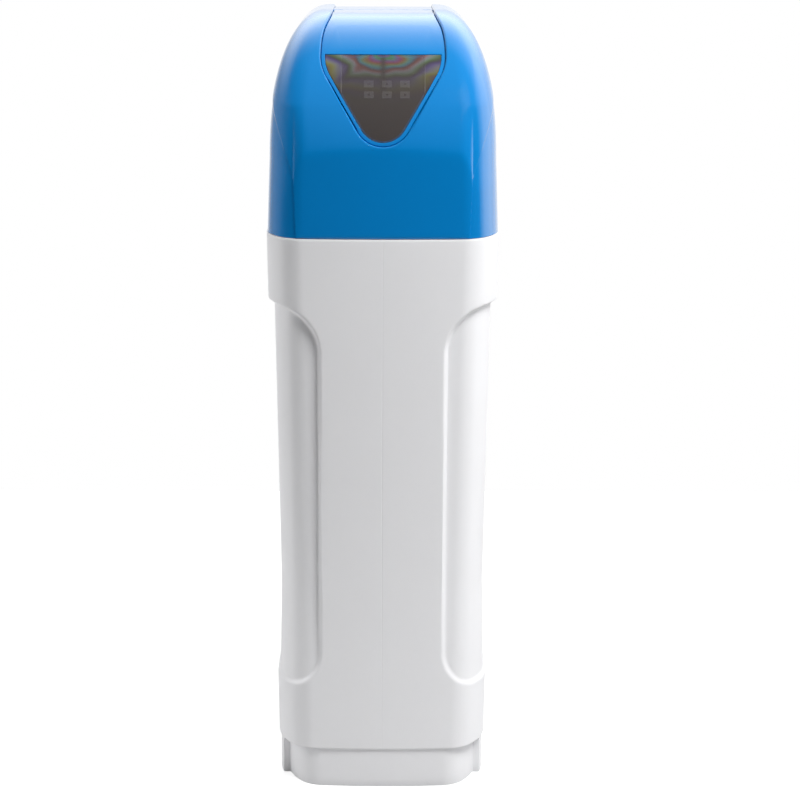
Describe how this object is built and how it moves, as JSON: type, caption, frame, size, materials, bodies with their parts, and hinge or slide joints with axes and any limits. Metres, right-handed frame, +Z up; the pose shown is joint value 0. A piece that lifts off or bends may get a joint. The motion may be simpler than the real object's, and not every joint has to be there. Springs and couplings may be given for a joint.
{
  "type": "cabinet water filter",
  "caption": "Upright cabinet water filter: waisted white salt cabinet, blue lift-off hood with a shield-shaped lid and smoked window, and the softening plant inside.",
  "frame": {"origin": "on the floor, at the middle of the footprint", "axes": "+Z up; the front with its window faces -Y; +X to the right of someone looking at the front"},
  "size_m": [0.336, 0.5, 1.134],
  "materials": {
    "white_plastic": "satin moulded",
    "blue_plastic": "gloss moulded",
    "smoked_clear": "gloss clear",
    "steel": "brushed",
    "grid_grey": "matt",
    "well_white": "matt",
    "valve_black": "moulded, fine grain",
    "valve_grey": "moulded, fine grain",
    "vessel_wrap": "wound fibre under resin",
    "boot_black": "matt",
    "pipe_white": "extruded",
    "resin": "bead bed",
    "seal_black": "matt",
    "housing_grey": "fine grain",
    "key_grey": "satin",
    "screen": "gloss",
    "board_green": "coated",
    "gear_white": "moulded",
    "handle_red": "moulded",
    "brass": "turned",
    "float_white": "moulded",
    "tube_black": "extruded"
  },
  "bodies": {
    "cabinet": {"cabinet_shell": "white_plastic", "salt_grid": "grid_grey", "brine_well": "well_white", "safety_float_valve": "valve_grey", "air_check": "pipe_white", "overflow_elbow": "valve_black", "overflow_nut": "valve_black", "brine_tube": "tube_black", "resin_tank": "vessel_wrap", "tank_boot": "boot_black", "riser_tube": "pipe_white", "bottom_distributor": "valve_grey", "top_distributor": "valve_grey", "resin_bed": "resin", "valve_body": "valve_black", "seal_stack": "seal_black", "barrel_cap": "valve_black", "injector_cap": "valve_black", "brine_elbow": "valve_grey", "drain_elbow": "valve_grey", "control_housing": "housing_grey", "lcd_lens": "screen", "circuit_board": "board_green", "drive_bracket": "valve_grey", "motor": "steel", "cable_gland": "valve_black", "bypass_body": "valve_black", "inlet_nipple": "brass", "outlet_nipple": "brass", "inlet_nut": "valve_black", "outlet_nut": "valve_black"},
    "piston_set": {"piston": "float_white", "piston_rod": "steel"},
    "drive_gear": {"drive_gear": "gear_white"},
    "motor_pinion": {"motor_pinion": "gear_white"},
    "meter_turbine": {"meter_turbine": "gear_white"},
    "bypass_inlet": {"bypass_rotor_inlet": "handle_red"},
    "bypass_outlet": {"bypass_rotor_outlet": "handle_red"},
    "float_set": {"float_rod": "float_white", "brine_float": "float_white"},
    "well_cap": {"brine_well_cap": "well_white"},
    "cover": {"top_cover": "blue_plastic", "lid_hinge_pin": "steel"},
    "lid": {"salt_lid": "blue_plastic", "display_window": "smoked_clear"},
    "key_menu": {"key_menu": "key_grey"},
    "key_up": {"key_up": "key_grey"},
    "key_set": {"key_set": "key_grey"},
    "key_left": {"key_left": "key_grey"},
    "key_down": {"key_down": "key_grey"},
    "key_right": {"key_right": "key_grey"}
  },
  "joints": [
    {"name": "cover_lift", "type": "slide", "parent": "cabinet", "child": "cover", "axis": [0, 0, 1], "range_m": [0, 0.3]},
    {"name": "lid_hinge", "type": "hinge", "parent": "cover", "child": "lid", "pos_m": [0, 0.062, 1.1264], "axis": [-1, 0, 0], "range_deg": [0, 90]},
    {"name": "drive_gear_turn", "type": "hinge", "parent": "cabinet", "child": "drive_gear", "pos_m": [0, 0.025, 0.983], "axis": [0, 1, 0], "range_deg": [0, 1080]},
    {"name": "motor_pinion_turn", "type": "hinge", "parent": "cabinet", "child": "motor_pinion", "pos_m": [0, 0.025, 1.019], "axis": [0, 1, 0], "range_deg": [-5400, 0]},
    {"name": "piston_slide", "type": "slide", "parent": "cabinet", "child": "piston_set", "axis": [0, 1, 0], "range_m": [0, 0.024]},
    {"name": "meter_turbine_spin", "type": "hinge", "parent": "cabinet", "child": "meter_turbine", "pos_m": [0.036, 0.156, 0.983], "axis": [0, 1, 0], "continuous": true},
    {"name": "bypass_inlet_turn", "type": "hinge", "parent": "cabinet", "child": "bypass_inlet", "pos_m": [-0.036, 0.1973, 0.983], "axis": [0, 0, 1], "range_deg": [0, 90]},
    {"name": "bypass_outlet_turn", "type": "hinge", "parent": "cabinet", "child": "bypass_outlet", "pos_m": [0.036, 0.1973, 0.983], "axis": [0, 0, -1], "range_deg": [0, 90]},
    {"name": "float_slide", "type": "slide", "parent": "cabinet", "child": "float_set", "axis": [0, 0, 1], "range_m": [0, 0.022]},
    {"name": "well_cap_lift", "type": "slide", "parent": "cabinet", "child": "well_cap", "axis": [0, 0, 1], "range_m": [0, 0.08]},
    {"name": "key_menu_press", "type": "slide", "parent": "cabinet", "child": "key_menu", "axis": [0, 1, 0], "range_m": [0, 0.0008], "stiffness_N_per_m": 1200, "springref_m": -0.0004},
    {"name": "key_up_press", "type": "slide", "parent": "cabinet", "child": "key_up", "axis": [0, 1, 0], "range_m": [0, 0.0008], "stiffness_N_per_m": 1200, "springref_m": -0.0004},
    {"name": "key_set_press", "type": "slide", "parent": "cabinet", "child": "key_set", "axis": [0, 1, 0], "range_m": [0, 0.0008], "stiffness_N_per_m": 1200, "springref_m": -0.0004},
    {"name": "key_left_press", "type": "slide", "parent": "cabinet", "child": "key_left", "axis": [0, 1, 0], "range_m": [0, 0.0008], "stiffness_N_per_m": 1200, "springref_m": -0.0004},
    {"name": "key_down_press", "type": "slide", "parent": "cabinet", "child": "key_down", "axis": [0, 1, 0], "range_m": [0, 0.0008], "stiffness_N_per_m": 1200, "springref_m": -0.0004},
    {"name": "key_right_press", "type": "slide", "parent": "cabinet", "child": "key_right", "axis": [0, 1, 0], "range_m": [0, 0.0008], "stiffness_N_per_m": 1200, "springref_m": -0.0004}
  ],
  "couplings": [
    {"joint": "piston_slide", "follows": "drive_gear_turn", "m_per_rad": 0.0012732},
    {"joint": "motor_pinion_turn", "follows": "drive_gear_turn", "ratio": -5}
  ]
}
